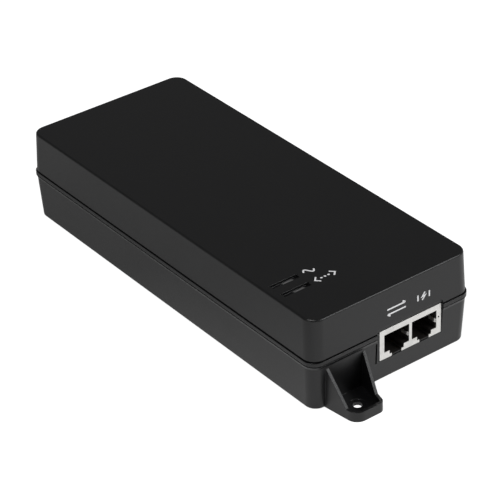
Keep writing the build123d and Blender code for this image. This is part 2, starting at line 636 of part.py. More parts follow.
with BuildPart() as fuse:
    fuse_z = BOARD_TOP + FUSE_R + 0.6
    with Locations(Location((*FUSE_AT, fuse_z), (90, 0, 0))):
        Cylinder(FUSE_R - 0.3, FUSE_LENGTH)
    for side in (-1, 1):
        cap_y = FUSE_AT[1] + side * (FUSE_LENGTH / 2 - FUSE_CAP / 2)
        with Locations(Location((FUSE_AT[0], cap_y, fuse_z), (90, 0, 0))):
            Cylinder(FUSE_R, FUSE_CAP)
        with Locations((FUSE_AT[0], cap_y, fuse_z)):
            Box(1.2, 2.0, fuse_z - BOARD_TOP + LEAD_LENGTH, align=TOP_ALIGN)

with BuildPart() as x_capacitors:
    for (x, y), (width, depth) in X_CAPACITORS:
        with Locations((x, y, BOARD_TOP)):
            Box(width, depth, X_CAPACITOR_HEIGHT, align=BOTTOM_ALIGN)
    chamfer(x_capacitors.faces().filter_by(Plane.XY).group_by(Axis.Z)[-1].edges(), 0.6)
    for (x, y), (width, depth) in X_CAPACITORS:
        reach = max(width, depth) / 2 - 1.5
        steps = [(reach, 0), (-reach, 0)] if width > depth else [(0, reach), (0, -reach)]
        with Locations(*[(x + dx, y + dy, BOARD_TOP + 1) for dx, dy in steps]):
            Cylinder(LEAD_R, LEAD_LENGTH + 1, align=TOP_ALIGN)

CHOKE_MIDDLE_Z = BOARD_TOP + 1 + CHOKE_FRAME[1] / 2
CHOKE_LIMB_OFFSET = (CHOKE_FRAME[0] - CHOKE_LIMB) / 2

with BuildPart() as input_choke_core:
    with Locations((*CHOKE_AT, CHOKE_MIDDLE_Z)):
        Box(CHOKE_FRAME[0], CHOKE_DEPTH, CHOKE_FRAME[1])
        Box(CHOKE_FRAME[0] - 2 * CHOKE_LIMB, CHOKE_DEPTH, CHOKE_FRAME[1] - 2 * CHOKE_LIMB, mode=Mode.SUBTRACT)

with BuildPart() as input_choke_windings:
    for side in (-1, 1):
        with Locations((CHOKE_AT[0] + side * CHOKE_LIMB_OFFSET, CHOKE_AT[1], CHOKE_MIDDLE_Z)):
            Box(CHOKE_LIMB + 5, CHOKE_DEPTH + 5, CHOKE_FRAME[1] - 2 * CHOKE_LIMB - 0.2)
    fillet(input_choke_windings.edges().filter_by(Axis.Z), 2.0)
    for side in (-1, 1):
        with Locations((CHOKE_AT[0] + side * CHOKE_LIMB_OFFSET, CHOKE_AT[1], CHOKE_MIDDLE_Z)):
            Box(CHOKE_LIMB + 0.2, CHOKE_DEPTH + 0.2, CHOKE_FRAME[1], mode=Mode.SUBTRACT)
        with Locations(*[
            (CHOKE_AT[0] + side * (CHOKE_LIMB_OFFSET + 0.5), CHOKE_AT[1] + dy, CHOKE_MIDDLE_Z - 4)
            for dy in (-4.2, 4.2)
        ]):
            Cylinder(LEAD_R, CHOKE_MIDDLE_Z - 4 - BOARD_TOP + LEAD_LENGTH, align=TOP_ALIGN)

with BuildPart() as bridge_rectifier:
    with Locations((*BRIDGE_AT, BOARD_TOP + 2)):
        Box(*BRIDGE, align=BOTTOM_ALIGN)
    chamfer(bridge_rectifier.edges().filter_by(Axis.X).group_by(Axis.Z)[-1].sort_by(Axis.Y)[-1], 2.0)
    with Locations(*[(BRIDGE_AT[0], BRIDGE_AT[1] + dy, BOARD_TOP + 3) for dy in (-5.7, -1.9, 1.9, 5.7)]):
        Cylinder(LEAD_R, 3 + LEAD_LENGTH, align=TOP_ALIGN)


def can_capacitor(x, y, radius, height):
    """Upright electrolytic can with a rolled groove and two leads."""
    with BuildPart() as can:
        with Locations((x, y, BOARD_TOP)):
            Cylinder(radius, height, align=BOTTOM_ALIGN)
        fillet(can.edges().filter_by(GeomType.CIRCLE), 0.8)
        with BuildSketch(Plane.XY.offset(BOARD_TOP + 3)):
            with Locations((x, y)):
                Circle(radius + 1)
                Circle(radius - 0.5, mode=Mode.SUBTRACT)
        extrude(amount=1.2, mode=Mode.SUBTRACT)
        with Locations((x - radius / 3, y, BOARD_TOP + 1), (x + radius / 3, y, BOARD_TOP + 1)):
            Cylinder(LEAD_R, LEAD_LENGTH + 1, align=TOP_ALIGN)
    return can


bulk_capacitor = can_capacitor(*BULK_AT, BULK_R, BULK_HEIGHT)

with BuildPart() as output_capacitors:
    for x, y in OUTPUT_CAPACITORS:
        add(can_capacitor(x, y, OUTPUT_CAPACITOR_R, OUTPUT_CAPACITOR_HEIGHT).part)

# ------------------------------------------------------------- transformer
CORE_BOTTOM = BOARD_TOP + 3
CORE_MIDDLE = (*TRANSFORMER_AT, CORE_BOTTOM + TRANSFORMER[2] / 2)
WINDOW = (TRANSFORMER[0] - 2 * CORE_LEG, TRANSFORMER[2] - 2 * CORE_LEG)
BOBBIN_WALL = 0.8
RAIL = (24.0, 4.5, 4.0)
WINDING_R = WINDOW[0] / 2 - 0.6

with BuildPart() as transformer_core:
    with Locations(CORE_MIDDLE):
        Box(*TRANSFORMER)
        Box(WINDOW[0], TRANSFORMER[1], WINDOW[1], mode=Mode.SUBTRACT)
        Cylinder(CENTRE_LEG_R, WINDOW[1])

with BuildPart() as transformer_bobbin:
    with BuildSketch(Plane.XY.offset(CORE_BOTTOM + CORE_LEG + FIT)):
        with Locations(TRANSFORMER_AT):
            Circle(WINDING_R + 0.3)
            Circle(CENTRE_LEG_R + FIT, mode=Mode.SUBTRACT)
    extrude(amount=WINDOW[1] - 2 * FIT)
    with BuildSketch(Plane.XY.offset(CORE_BOTTOM + CORE_LEG + FIT + BOBBIN_WALL)):
        with Locations(TRANSFORMER_AT):
            Circle(WINDING_R + 1)
            Circle(CENTRE_LEG_R + FIT + BOBBIN_WALL, mode=Mode.SUBTRACT)
    extrude(amount=WINDOW[1] - 2 * FIT - 2 * BOBBIN_WALL, mode=Mode.SUBTRACT)
    # lower flange, carried past the core to a pin rail at the front and rear
    flange_z = CORE_BOTTOM + CORE_LEG + FIT
    rail_y = TRANSFORMER[1] / 2 + 2.5
    with BuildSketch(Plane.XY.offset(flange_z)):
        with Locations(TRANSFORMER_AT):
            Rectangle(RAIL[0] - 8, 2 * rail_y)
            Circle(CENTRE_LEG_R + FIT, mode=Mode.SUBTRACT)
    extrude(amount=BOBBIN_WALL)
    for side in (-1, 1):
        with Locations((TRANSFORMER_AT[0], TRANSFORMER_AT[1] + side * rail_y, BOARD_TOP)):
            Box(*RAIL, align=BOTTOM_ALIGN)
            Box(RAIL[0] - 8, RAIL[1] - 1, flange_z + BOBBIN_WALL - BOARD_TOP, align=BOTTOM_ALIGN)

with BuildPart() as transformer_pins:
    for side in (-1, 1):
        row_y = TRANSFORMER_AT[1] + side * rail_y
        with Locations(*[(TRANSFORMER_AT[0] + 4.0 * i, row_y, BOARD_TOP) for i in (-2, -1, 0, 1, 2)]):
            Cylinder(LEAD_R, LEAD_LENGTH, align=TOP_ALIGN)

winding_bottom = CORE_BOTTOM + CORE_LEG + FIT + BOBBIN_WALL + 0.1
winding_height = WINDOW[1] - 2 * FIT - 2 * BOBBIN_WALL - 0.2
split_r = (CENTRE_LEG_R + WINDING_R) / 2 + 0.4


def winding_layer(inner, outer):
    """Ring of winding round the transformer's centre leg."""
    with BuildPart() as layer:
        with BuildSketch(Plane.XY.offset(winding_bottom)):
            with Locations(TRANSFORMER_AT):
                Circle(outer)
                Circle(inner, mode=Mode.SUBTRACT)
        extrude(amount=winding_height)
    return layer


primary_winding = winding_layer(CENTRE_LEG_R + FIT + BOBBIN_WALL + 0.1, split_r)
secondary_winding = winding_layer(split_r + 0.1, WINDING_R - 0.3)


# ------------------------------------------- heatsinks and power devices
def heatsink(x, y):
    """Upright aluminium plate with a cut at each lower corner and two tabs."""
    with BuildPart() as plate:
        with Locations((x, y, BOARD_TOP)):
            Box(*HEATSINK, align=BOTTOM_ALIGN)
        chamfer(plate.edges().filter_by(Axis.X).group_by(Axis.Z)[-1], 2.0)
        with Locations((x, y - 15, BOARD_TOP), (x, y + 15, BOARD_TOP)):
            Box(1.2, 3, BOARD_THICKNESS, align=TOP_ALIGN)
    return plate


def device_frame(x, side, inset, thickness):
    """X of the middle of a layer stacked on a heatsink's inner face."""
    return x + side * (HEATSINK[0] / 2 + inset + thickness / 2)


def power_device(x, side, y):
    """Three-leg power package standing against its heatsink."""
    middle = device_frame(x, side, PAD_THICKNESS, DEVICE[2])
    with BuildPart() as device:
        with Locations((middle, y, BOARD_TOP + DEVICE_BASE)):
            Box(DEVICE[2], DEVICE[0], DEVICE[1] - 5.5, align=BOTTOM_ALIGN)
        tab_x = device_frame(x, side, PAD_THICKNESS, 1.3)
        with Locations((tab_x, y, BOARD_TOP + DEVICE_BASE)):
            Box(1.3, DEVICE[0], DEVICE[1], align=BOTTOM_ALIGN)
        with Locations(*[(middle, y + dy, BOARD_TOP + DEVICE_BASE) for dy in (-2.54, 0, 2.54)]):
            Box(0.5, 0.8, DEVICE_BASE + LEAD_LENGTH, align=TOP_ALIGN)
        with Locations(Location((tab_x, y, BOARD_TOP + DEVICE_BASE + DEVICE[1] - 2.8), (0, 90, 0))):
            Cylinder(DEVICE_SCREW_R + FIT, 3, mode=Mode.SUBTRACT)
    return device


def device_pad(x, side, y):
    """Thin insulating pad between a power device and its heatsink."""
    middle = device_frame(x, side, 0, PAD_THICKNESS)
    with BuildPart() as pad:
        with Locations((middle, y, BOARD_TOP + DEVICE_BASE - 1)):
            Box(PAD_THICKNESS, DEVICE[0] + 2, DEVICE[1] + 2, align=BOTTOM_ALIGN)
        with Locations(Location((middle, y, BOARD_TOP + DEVICE_BASE + DEVICE[1] - 2.8), (0, 90, 0))):
            Cylinder(DEVICE_SCREW_R + FIT, 3, mode=Mode.SUBTRACT)
    return pad


def device_screw(x, side, y):
    """Screw through a power device's tab into the heatsink's tapped hole."""
    screw_z = BOARD_TOP + DEVICE_BASE + DEVICE[1] - 2.8
    head_x = device_frame(x, side, PAD_THICKNESS + 1.3, 1.6)
    shank = PAD_THICKNESS + 1.3 + HEATSINK[0]
    shank_x = x + side * (PAD_THICKNESS + 1.3) / 2
    with BuildPart() as screw:
        with Locations(Location((head_x, y, screw_z), (0, 90, 0))):
            Cylinder(2.6, 1.6)
        with Locations(Location((shank_x, y, screw_z), (0, 90, 0))):
            Cylinder(DEVICE_SCREW_R, shank)
    return screw


def tapped_heatsink(x, y, side, device_y):
    """Heatsink with the hole its device's screw enters."""
    with BuildPart() as plate:
        add(heatsink(x, y).part)
        with Locations(Location((x, device_y, BOARD_TOP + DEVICE_BASE + DEVICE[1] - 2.8), (0, 90, 0))):
            Cylinder(DEVICE_SCREW_R + FIT, HEATSINK[0] + 1, mode=Mode.SUBTRACT)
    return plate


primary_heatsink = tapped_heatsink(*HEATSINKS["primary"])
secondary_heatsink = tapped_heatsink(*HEATSINKS["secondary"])
power_stages = {}
for stage, (x, y, side, device_y) in HEATSINKS.items():
    power_stages[stage] = [make(x, side, device_y) for make in (power_device, device_pad, device_screw)]
switching_transistor, transistor_pad, transistor_screw = power_stages["primary"]
output_rectifier, rectifier_pad, rectifier_screw = power_stages["secondary"]


# ------------------------------------------------ chips and small parts
def leaded_chip(spots, width, depth, height, legs, pitch):
    """Moulded chips with a row of gull-wing legs along each long side."""
    with BuildPart() as chips:
        with Locations(*[(x, y, BOARD_TOP + 0.2) for x, y in spots]):
            Box(width, depth, height, align=BOTTOM_ALIGN)
        for x, y in spots:
            for side in (-1, 1):
                with Locations(*[
                    (x + (i - (legs - 1) / 2) * pitch, y + side * depth / 2, BOARD_TOP) for i in range(legs)
                ]):
                    Box(0.5, 2.0, 0.5, align=BOTTOM_ALIGN)
    return chips


switching_controller = leaded_chip([CONTROLLER_AT], 9.9, 3.9, 1.6, 7, 1.27)
power_controller = leaded_chip([POWER_CONTROLLER_AT], 12.8, 7.5, 2.2, 10, 1.27)
optocouplers = leaded_chip(OPTOCOUPLERS, 4.6, 6.4, 3.5, 2, 2.54)
lan_transformers = leaded_chip(LAN_TRANSFORMERS, *LAN_TRANSFORMER, 8, 1.9)

with BuildPart() as insulation_barrier:
    with Locations((*BARRIER_AT, BOARD_TOP)):
        Box(*BARRIER, align=BOTTOM_ALIGN)
    chamfer(insulation_barrier.edges().filter_by(Axis.Y).group_by(Axis.Z)[-1], 2.0)

INDUCTOR_MIDDLE = (INDUCTOR_R[0] + INDUCTOR_R[1]) / 2
INDUCTOR_Z = BOARD_TOP + 2 + INDUCTOR_HEIGHT / 2

with BuildPart() as output_inductor_core:
    with BuildSketch(Plane.XY.offset(INDUCTOR_Z - INDUCTOR_HEIGHT / 2)):
        with Locations(INDUCTOR_AT):
            Circle(INDUCTOR_R[1])
            Circle(INDUCTOR_R[0], mode=Mode.SUBTRACT)
    extrude(amount=INDUCTOR_HEIGHT)

with BuildPart() as output_inductor_winding:
    wire_r = 0.6
    turn = (INDUCTOR_R[1] - INDUCTOR_R[0] + 2 * wire_r + 0.2, INDUCTOR_HEIGHT + 2 * wire_r + 0.2)
    for index in range(20):
        angle = 15 * index
        spoke = Plane(
            origin=(*INDUCTOR_AT, INDUCTOR_Z),
            x_dir=(cos(radians(angle)), sin(radians(angle)), 0),
            z_dir=(-sin(radians(angle)), cos(radians(angle)), 0),
        )
        with BuildSketch(spoke.offset(-wire_r)):
            with Locations((INDUCTOR_MIDDLE, 0)):
                Rectangle(turn[0] + 2 * wire_r, turn[1] + 2 * wire_r)
                Rectangle(turn[0] - 0.05, turn[1] - 0.05, mode=Mode.SUBTRACT)
        extrude(amount=2 * wire_r)

with BuildPart() as smd_passives:
    with Locations((*PASSIVES_AT, BOARD_TOP)):
        with GridLocations(3.2, 2.6, 3, 4):
            Box(2.0, 1.25, 0.8, align=BOTTOM_ALIGN)

# ================================================================ the board
THROUGH_LEADS = [
    varistor, thermistor, y_capacitors, fuse, x_capacitors, input_choke_windings, bridge_rectifier,
    bulk_capacitor, output_capacitors, transformer_pins, switching_transistor, output_rectifier,
    primary_heatsink, secondary_heatsink, line_pin, neutral_pin, earth_pin, rj45_contact_leads,
]

with BuildPart() as main_board:
    with BuildSketch(Plane.XY.offset(BOARD_BOTTOM)):
        Rectangle(BOARD_WIDTH, BOARD_LENGTH)
        with GridLocations(BOARD_WIDTH - BOARD_NOTCH[0], BOARD_LENGTH - BOARD_NOTCH[1], 2, 2):
            Rectangle(*BOARD_NOTCH, mode=Mode.SUBTRACT)
        with Locations(*BOARD_SCREWS):
            Circle(BOARD_SCREW_R + 0.4, mode=Mode.SUBTRACT)
    extrude(amount=BOARD_THICKNESS)
    # every through-hole lead fits its own hole
    for piece in THROUGH_LEADS:
        add(piece.part, mode=Mode.SUBTRACT)

os.makedirs("parts", exist_ok=True)
pieces = {
    "top_cover": top_cover,
    "base_shell": base_shell,
    "rating_label": rating_label,
    "insulation_sheet": insulation_sheet,
    "case_screws": case_screws,
    "board_screws": board_screws,
    "light_pipe_ac": light_pipe_ac,
    "light_pipe_port": light_pipe_port,
    "led_ac": led_ac,
    "led_port": led_port,
    "jack_shield": jack_shield,
    "rj45_housing": rj45_housing,
    "rj45_contact_leads": rj45_contact_leads,
    "data_contacts": data_contacts,
    "poe_contacts": poe_contacts,
    "c14_inlet_housing": c14_inlet_housing,
    "line_pin": line_pin,
    "neutral_pin": neutral_pin,
    "earth_pin": earth_pin,
    "fuse": fuse,
    "varistor": varistor,
    "thermistor": thermistor,
    "x_capacitors": x_capacitors,
    "input_choke_core": input_choke_core,
    "input_choke_windings": input_choke_windings,
    "bridge_rectifier": bridge_rectifier,
    "bulk_capacitor": bulk_capacitor,
    "primary_heatsink": primary_heatsink,
    "switching_transistor": switching_transistor,
    "transistor_pad": transistor_pad,
    "transistor_screw": transistor_screw,
    "switching_controller": switching_controller,
    "transformer_core": transformer_core,
    "transformer_bobbin": transformer_bobbin,
    "transformer_pins": transformer_pins,
    "primary_winding": primary_winding,
    "secondary_winding": secondary_winding,
    "y_capacitors": y_capacitors,
    "optocouplers": optocouplers,
    "insulation_barrier": insulation_barrier,
    "secondary_heatsink": secondary_heatsink,
    "output_rectifier": output_rectifier,
    "rectifier_pad": rectifier_pad,
    "rectifier_screw": rectifier_screw,
    "output_capacitors": output_capacitors,
    "output_inductor_core": output_inductor_core,
    "output_inductor_winding": output_inductor_winding,
    "power_controller": power_controller,
    "lan_transformers": lan_transformers,
    "smd_passives": smd_passives,
    "main_board": main_board,
}
for name, piece in pieces.items():
    piece.part.label = name
    export_step(piece.part, f"parts/{name}.step")
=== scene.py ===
"""The finished look of a power over Ethernet injector: a black two-part moulded case with a lug at two
corners, a shielded pair of network jacks at one end and a mains inlet at the other, with its board inside.
Lengths are in metres. MM turns the millimetres that the object is dimensioned in into metres."""

import math

import bmesh
import bpy
from mathutils import Matrix, Vector


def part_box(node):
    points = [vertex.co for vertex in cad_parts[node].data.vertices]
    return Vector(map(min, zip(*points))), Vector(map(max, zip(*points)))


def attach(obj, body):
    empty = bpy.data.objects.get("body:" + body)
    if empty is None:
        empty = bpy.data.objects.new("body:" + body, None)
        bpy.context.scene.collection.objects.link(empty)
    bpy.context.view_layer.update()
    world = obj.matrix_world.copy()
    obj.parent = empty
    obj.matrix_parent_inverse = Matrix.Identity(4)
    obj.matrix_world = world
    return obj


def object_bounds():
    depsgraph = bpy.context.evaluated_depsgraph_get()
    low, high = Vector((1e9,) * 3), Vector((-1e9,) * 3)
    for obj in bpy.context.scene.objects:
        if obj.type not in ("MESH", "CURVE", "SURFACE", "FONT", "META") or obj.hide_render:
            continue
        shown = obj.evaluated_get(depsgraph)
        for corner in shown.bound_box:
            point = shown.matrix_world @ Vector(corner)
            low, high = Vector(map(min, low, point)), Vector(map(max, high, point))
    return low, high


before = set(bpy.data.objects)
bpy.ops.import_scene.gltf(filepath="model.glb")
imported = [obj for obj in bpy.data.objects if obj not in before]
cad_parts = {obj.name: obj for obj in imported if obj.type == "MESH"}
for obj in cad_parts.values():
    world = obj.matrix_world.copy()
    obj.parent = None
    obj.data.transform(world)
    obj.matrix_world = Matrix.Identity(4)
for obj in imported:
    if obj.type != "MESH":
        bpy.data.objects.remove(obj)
cad_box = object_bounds()

MM = 0.001
LOW, HIGH = (Vector(corner) for corner in cad_box)
CENTRE = (LOW + HIGH) / 2


# ---------------------------------------------------------------- finishes

BEVEL_SAMPLES = 4


class Finish:
    """A material under construction, painted in the object's own coordinates.
    Sizes and depths are in millimetres."""

    def __init__(self, name, **sockets):
        self.material = bpy.data.materials.new("finish_" + name)
        self.material.use_nodes = True
        self.tree = self.material.node_tree
        self.shader = self.tree.nodes["Principled BSDF"]
        for socket, value in sockets.items():
            self.set(socket.replace("_", " "), value)
        self.place = self.node("ShaderNodeTexCoord").outputs["Object"]
        self.relief = None

    def node(self, kind, **settings):
        made = self.tree.nodes.new(kind)
        for setting, value in settings.items():
            setattr(made, setting, value)
        return made

    def feed(self, socket, value):
        """Links an output to a socket, or sets the socket to a plain value."""
        if isinstance(value, bpy.types.NodeSocket):
            self.tree.links.new(value, socket)
        elif isinstance(value, tuple) and len(value) == 3 and socket.type == "RGBA":
            socket.default_value = (*value, 1.0)
        else:
            socket.default_value = value

    def set(self, name, value):
        self.feed(self.shader.inputs[name], value)

    def stretched(self, along):
        """The object's coordinates, scaled by one factor along each axis."""
        mapping = self.node("ShaderNodeMapping")
        self.feed(mapping.inputs["Vector"], self.place)
        mapping.inputs["Scale"].default_value = along
        return mapping.outputs["Vector"]

    def noise(self, size, detail=2.0, along=(1, 1, 1), roughness=0.5):
        """Soft spots of about the given size, from 0 to 1."""
        made = self.node("ShaderNodeTexNoise")
        self.feed(made.inputs["Vector"], self.stretched(along))
        self.feed(made.inputs["Scale"], 1 / (size * MM))
        self.feed(made.inputs["Detail"], detail)
        self.feed(made.inputs["Roughness"], roughness)
        return made.outputs["Fac"]

    def cells(self, size, feature="F1", along=(1, 1, 1)):
        """The distance to the centres of cells of about the given size, or to their edges."""
        made = self.node("ShaderNodeTexVoronoi", feature=feature)
        self.feed(made.inputs["Vector"], self.stretched(along))
        self.feed(made.inputs["Scale"], 1 / (size * MM))
        return made.outputs["Distance"]

    def waves(self, pitch, axis, distortion=0.0):
        """Parallel ridges along an axis, one every pitch."""
        made = self.node("ShaderNodeTexWave", bands_direction=axis)
        self.feed(made.inputs["Vector"], self.place)
        self.feed(made.inputs["Scale"], 2 * math.pi / (20 * pitch * MM))
        self.feed(made.inputs["Distortion"], distortion)
        return made.outputs["Fac"]

    def ranged(self, value, low, high, to_low=0.0, to_high=1.0):
        """The value's stretch from low to high, clamped and mapped to a new one."""
        made = self.node("ShaderNodeMapRange")
        self.feed(made.inputs["Value"], value)
        ends = {"From Min": low, "From Max": high, "To Min": to_low, "To Max": to_high}
        for socket, number in ends.items():
            self.feed(made.inputs[socket], number)
        return made.outputs["Result"]

    def sums(self, operation, first, second):
        """Two values added, subtracted or multiplied."""
        made = self.node("ShaderNodeMath", operation=operation)
        self.feed(made.inputs[0], first)
        self.feed(made.inputs[1], second)
        return made.outputs["Value"]

    def mixed(self, share, first, second):
        """From the first colour to the second as share goes from 0 to 1."""
        made = self.node("ShaderNodeMix", data_type="RGBA")
        factor = next(s for s in made.inputs if s.name == "Factor" and s.type == "VALUE")
        a = next(s for s in made.inputs if s.name == "A" and s.type == "RGBA")
        b = next(s for s in made.inputs if s.name == "B" and s.type == "RGBA")
        self.feed(factor, share)
        self.feed(a, first)
        self.feed(b, second)
        return next(s for s in made.outputs if s.type == "RGBA")

    def edges(self, radius, keenness=12.0):
        """1 on the outer and inner edges, to about the given radius from them, and 0 on open faces.
        Keenness says how slight a bend already counts in full."""
        rounded = self.node("ShaderNodeBevel", samples=BEVEL_SAMPLES)
        self.feed(rounded.inputs["Radius"], radius * MM)
        flat = self.node("ShaderNodeNewGeometry")
        product = self.node("ShaderNodeVectorMath", operation="DOT_PRODUCT")
        self.feed(product.inputs[0], rounded.outputs["Normal"])
        self.feed(product.inputs[1], flat.outputs["Normal"])
        bend = self.sums("SUBTRACT", 1.0, product.outputs["Value"])
        return self.ranged(bend, 0.0, 1 / keenness)

    def soften(self, radius):
        """Rounds sharp edges in the shading, as a moulding's edges are."""
        rounded = self.node("ShaderNodeBevel", samples=BEVEL_SAMPLES)
        self.feed(rounded.inputs["Radius"], radius * MM)
        self.relief = rounded.outputs["Normal"]
        self.set("Normal", self.relief)

    def bump(self, height, depth):
        """Adds a relief of the given depth to those already there."""
        made = self.node("ShaderNodeBump")
        self.feed(made.inputs["Height"], height)
        self.feed(made.inputs["Distance"], depth * MM)
        if self.relief:
            self.feed(made.inputs["Normal"], self.relief)
        self.relief = made.outputs["Normal"]
        self.set("Normal", self.relief)

    def tint(self, first, second, size, contrast=0.35, detail=3.0):
        """A base colour that wanders between two colours in spots of the given size."""
        spots = self.ranged(self.noise(size, detail), 0.5 - contrast / 2, 0.5 + contrast / 2)
        colour = self.mixed(spots, first, second)
        self.set("Base Color", colour)
        return colour


def case_plastic():
    """Black flame-retardant plastic with a fine spark-eroded texture. Its edges are a little smoother, and a
    lighter colour on them is a painted highlight.
    """
    finish = Finish("case_plastic", IOR=1.5)
    finish.soften(0.25)
    clouds = finish.ranged(finish.noise(24, 3), 0.35, 0.65)
    specks = finish.ranged(finish.noise(0.7, 2), 0.35, 0.65)
    burnish_and_highlight = finish.edges(0.3)
    ground = finish.mixed(clouds, (0.0032, 0.0032, 0.0036), (0.0042, 0.0042, 0.0046))
    speckled = finish.mixed(specks, ground, (0.0050, 0.0050, 0.0054))
    # Lighter colour on the edges: a painted highlight, not a colour of the plastic.
    finish.set("Base Color", finish.mixed(burnish_and_highlight, speckled, (0.012, 0.012, 0.013)))
    matt = finish.ranged(clouds, 0, 1, 0.31, 0.35)
    grained = finish.sums("ADD", matt, finish.ranged(specks, 0, 1, -0.03, 0.03))
    finish.set("Roughness", finish.sums("SUBTRACT", grained, finish.ranged(burnish_and_highlight, 0, 1, 0.0, 0.10)))
    finish.bump(finish.noise(0.55, 4, roughness=0.65), 0.035)
    return finish.material


def jack_plastic():
    """Black glass-filled insulator of the jacks, with faint flow marks."""
    finish = Finish("jack_plastic", IOR=1.52)
    finish.soften(0.1)
    finish.tint((0.011, 0.0100, 0.0095), (0.017, 0.0150, 0.0140), 2.5)
    finish.set("Roughness", finish.ranged(finish.noise(1.2), 0.3, 0.7, 0.38, 0.52))
    finish.bump(finish.noise(0.25, 3), 0.008)
    return finish.material


def inlet_plastic():
    """Smooth black moulding of the mains inlet, with a satin skin and light flow marks."""
    finish = Finish("inlet_plastic", IOR=1.54)
    finish.soften(0.15)
    finish.tint((0.0085, 0.0085, 0.0088), (0.013, 0.013, 0.0134), 6)
    finish.set("Roughness", finish.ranged(finish.noise(3, 3, along=(1, 1, 0.3)), 0.3, 0.7, 0.30, 0.40))
    finish.bump(finish.noise(0.6, 3), 0.006)
    return finish.material


def clear_plastic():
    """Smoked clear moulding of the light pipes, a little frosted."""
    finish = Finish("clear_plastic", IOR=1.49, Transmission_Weight=0.35)
    finish.tint((0.20, 0.20, 0.20), (0.34, 0.34, 0.335), 1.2)
    finish.set("Roughness", finish.ranged(finish.noise(0.8), 0.3, 0.7, 0.22, 0.38))
    finish.bump(finish.noise(0.5), 0.006)
    return finish.material


def label_film():
    """Satin polyester label, dark grey, with a faint orange-peel surface."""
    finish = Finish("label_film", IOR=1.5)
    finish.tint((0.030, 0.030, 0.032), (0.036, 0.036, 0.038), 9)
    finish.set("Roughness", finish.ranged(finish.noise(1.5), 0.3, 0.7, 0.42, 0.50))
    finish.bump(finish.noise(0.9, 3), 0.006)
    return finish.material


def sheet_plastic():
    """Milky fish-paper and polyester insulating sheet, with fibres along its length."""
    finish = Finish("sheet_plastic", IOR=1.5)
    finish.tint((0.62, 0.60, 0.52), (0.74, 0.72, 0.64), 3)
    finish.set("Roughness", finish.ranged(finish.noise(2), 0.3, 0.7, 0.42, 0.58))
    finish.bump(finish.noise(0.8, 4, along=(3, 0.4, 3)), 0.02)
    return finish.material


def bare_metal(name, first, second, roughness, along, depth=0.01):
    """Plated or plain metal with drawn or brushed marks and slight stains."""
    finish = Finish(name, Metallic=1.0)
    finish.soften(0.06)
    colour = finish.tint(first, second, 2.0)
    stain = finish.ranged(finish.noise(5, 4), 0.55, 0.75, 0.0, 0.4)
    finish.set("Base Color", finish.mixed(stain, colour, tuple(0.7 * part for part in first)))
    marks = finish.noise(0.5, 4, along=along)
    finish.set("Roughness", finish.ranged(marks, 0.3, 0.7, roughness - 0.06, roughness + 0.10))
    finish.bump(marks, depth)
    return finish.material


def steel():
    return bare_metal("steel", (0.50, 0.50, 0.49), (0.60, 0.60, 0.60), 0.34, (1, 1, 4))


def shield_steel():
    """Matt-tinned steel strip of the jacks' shield."""
    return bare_metal("shield_steel", (0.80, 0.79, 0.765), (0.88, 0.87, 0.85), 0.42, (1, 4, 1), 0.006)


def plated_brass():
    return bare_metal("plated_brass", (0.66, 0.63, 0.57), (0.74, 0.72, 0.67), 0.24, (4, 0.3, 4))


def gold_wire():
    return bare_metal("gold_wire", (0.72, 0.46, 0.14), (0.88, 0.64, 0.26), 0.22, (5, 0.4, 5), 0.004)


def tinned_wire():
    return bare_metal("tinned_wire", (0.58, 0.58, 0.57), (0.70, 0.70, 0.68), 0.36, (5, 5, 0.4))


def aluminium_plate():
    return bare_metal("aluminium_plate", (0.62, 0.63, 0.64), (0.72, 0.72, 0.73), 0.32, (0.3, 0.3, 6), 0.02)


def board_laminate():
    """Green solder mask over copper tracks on glass laminate, seen as slightly raised paler lanes."""
    finish = Finish("board_laminate", IOR=1.5)
    lanes = finish.ranged(finish.cells(4.2, "DISTANCE_TO_EDGE", along=(1.0, 0.6, 1.0)), 0.02, 0.10, 1.0, 0.0)
    weave = finish.sums("MULTIPLY", finish.waves(0.8, "X"), finish.waves(0.8, "Y"))
    ground = finish.mixed(finish.ranged(weave, 0, 1, 0, 0.4), (0.010, 0.085, 0.036), (0.014, 0.120, 0.050))
    finish.set("Base Color", finish.mixed(lanes, ground, (0.028, 0.190, 0.075)))
    finish.set("Roughness", finish.ranged(finish.noise(3), 0.3, 0.7, 0.26, 0.40))
    finish.bump(lanes, 0.035)
    return finish.material


def lamp_plastic():
    """Diffused lens of the indicator lamps."""
    finish = Finish("lamp_plastic", IOR=1.5, Transmission_Weight=0.3)
    finish.tint((0.16, 0.46, 0.15), (0.24, 0.60, 0.22), 1.0)
    finish.set("Roughness", finish.ranged(finish.noise(0.6), 0.3, 0.7, 0.18, 0.34))
    return finish.material


def dipped_coating(name, first, second):
    """Thick dipped lacquer, with sags and a gloss skin."""
    finish = Finish(name, IOR=1.52, Coat_Weight=0.35, Coat_Roughness=0.12)
    finish.tint(first, second, 3.0)
    finish.set("Roughness", finish.ranged(finish.noise(1.5), 0.3, 0.7, 0.28, 0.42))
    finish.bump(finish.noise(2.2, 3), 0.08)
    return finish.material


def blue_coating():
    return dipped_coating("blue_coating", (0.018, 0.080, 0.33), (0.035, 0.125, 0.42))


def green_coating():
    return dipped_coating("green_coating", (0.020, 0.135, 0.055), (0.035, 0.185, 0.080))


def moulded(name, first, second, roughness, spot=4.0, depth=0.012):
    """A plain moulding: slow colour drift, uneven sheen, a fine skin."""
    finish = Finish(name, IOR=1.5)
    finish.soften(0.12)
    finish.tint(first, second, spot)
    sheen = finish.noise(spot / 3)
    finish.set("Roughness", finish.ranged(sheen, 0.3, 0.7, roughness - 0.06, roughness + 0.08))
    finish.bump(finish.noise(0.4, 4), depth)
    return finish.material


def yellow_box():
    return moulded("yellow_box", (0.62, 0.42, 0.045), (0.74, 0.53, 0.07), 0.36)


def chip_moulding():
    return moulded("chip_moulding", (0.013, 0.013, 0.014), (0.022, 0.022, 0.023), 0.60, 2.0, 0.02)


def bobbin_moulding():
    return moulded("bobbin_moulding", (0.014, 0.013, 0.012), (0.022, 0.020, 0.018), 0.48)


